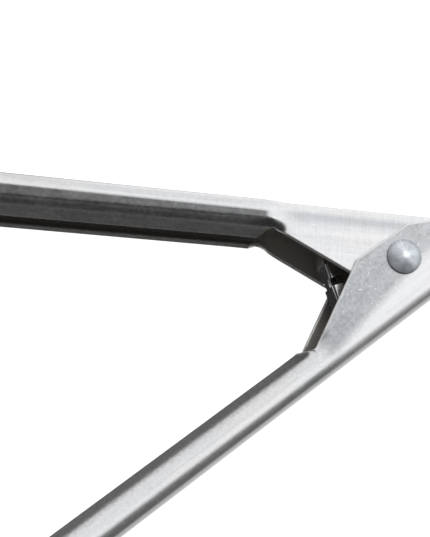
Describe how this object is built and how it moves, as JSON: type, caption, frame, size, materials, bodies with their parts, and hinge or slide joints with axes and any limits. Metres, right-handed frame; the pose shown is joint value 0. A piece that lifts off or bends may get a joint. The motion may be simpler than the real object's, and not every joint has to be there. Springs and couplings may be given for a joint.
{
  "type": "spring loaded kitchen tongs",
  "caption": "Spring loaded sheet-steel kitchen tongs: channel arms with scooped, scalloped heads, turning on a domed rivet and pushed open by a leaf spring.",
  "frame": {"origin": "under the middle of the open tongs, on the surface they lie on", "axes": "+Z along the rivet, from the surface up; +X along the tongs' middle plane, from the heads to the hinge; +Y from the lower arm to the upper arm"},
  "size_m": [0.2918, 0.219, 0.039],
  "materials": {
    "arm_steel": "brushed stainless sheet steel with a soft satin shine",
    "rivet_steel": "tumbled steel, smooth and slightly blue-grey",
    "spring_steel": "rolled spring strip"
  },
  "bodies": {
    "lower_arm": {"lower_arm": "arm_steel", "pivot_rivet": "rivet_steel", "spacer_sleeve": "rivet_steel", "leaf_spring": "spring_steel"},
    "upper_arm": {"upper_arm": "arm_steel"}
  },
  "joints": [
    {"name": "hinge", "type": "hinge", "parent": "lower_arm", "child": "upper_arm", "pos_m": [0.12682, 0, 0.01948], "axis": [0, 0, 1], "range_deg": [0, 39.9], "stiffness_Nm_per_rad": 0.25, "springref_deg": -20.05, "deforming": ["leaf_spring"]}
  ]
}
